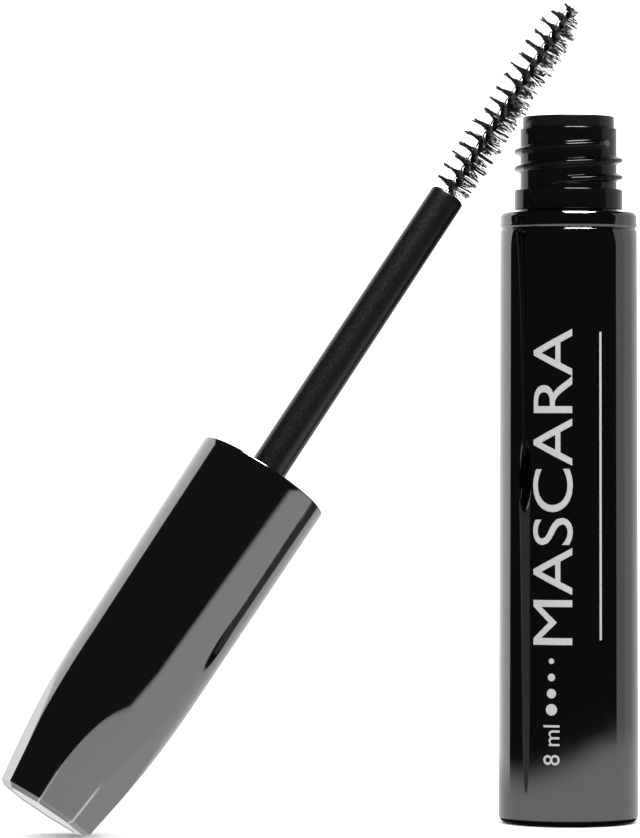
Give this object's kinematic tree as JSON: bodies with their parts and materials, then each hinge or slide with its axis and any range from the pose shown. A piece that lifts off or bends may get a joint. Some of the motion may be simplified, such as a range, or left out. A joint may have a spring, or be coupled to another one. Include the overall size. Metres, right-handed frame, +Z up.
{
  "type": "mascara tube",
  "caption": "Mascara tube: threaded bottle with a wiper, and its screw cap with stem and twisted-wire brush leaning on the neck's rim.",
  "frame": {"origin": "centre of the bottle's flat base, on the floor", "axes": "+Z up the bottle's axis; the open applicator leans in from -X and a little -Y"},
  "size_m": [0.0824, 0.0372, 0.1076],
  "materials": {
    "metallised_shell": "dark gunmetal metallised, high gloss",
    "black_gloss": "gloss black moulded plastic",
    "black_soft": "satin black flexible plastic",
    "mascara_paste": "wet black paste",
    "washer_foam": "white foam",
    "black_satin": "satin black moulded plastic",
    "brush_wire": "drawn stainless wire",
    "bristle_nylon": "black nylon filament"
  },
  "bodies": {
    "bottle": {"outer_sleeve": "metallised_shell", "base_plug": "black_gloss", "inner_vial": "black_gloss", "wiper": "black_soft", "mascara_fill": "mascara_paste"},
    "seal": {"seal_washer": "washer_foam"},
    "applicator": {"overcap": "metallised_shell", "inner_cap": "black_gloss", "stem": "black_satin", "brush_wire": "brush_wire", "bristles": "bristle_nylon"}
  },
  "joints": [
    {"name": "applicator_swing", "type": "hinge", "parent": "bottle", "child": "seal", "pos_m": [-0.00157, -0.0005, 0.10102], "axis": [-0.3024, 0.9532, 0], "range_deg": [0, 145.4]},
    {"name": "applicator_turn", "type": "hinge", "parent": "seal", "child": "applicator", "pos_m": [-0.04679, -0.01484, 0.03513], "axis": [0.5413, 0.1717, 0.8231], "continuous": true}
  ]
}
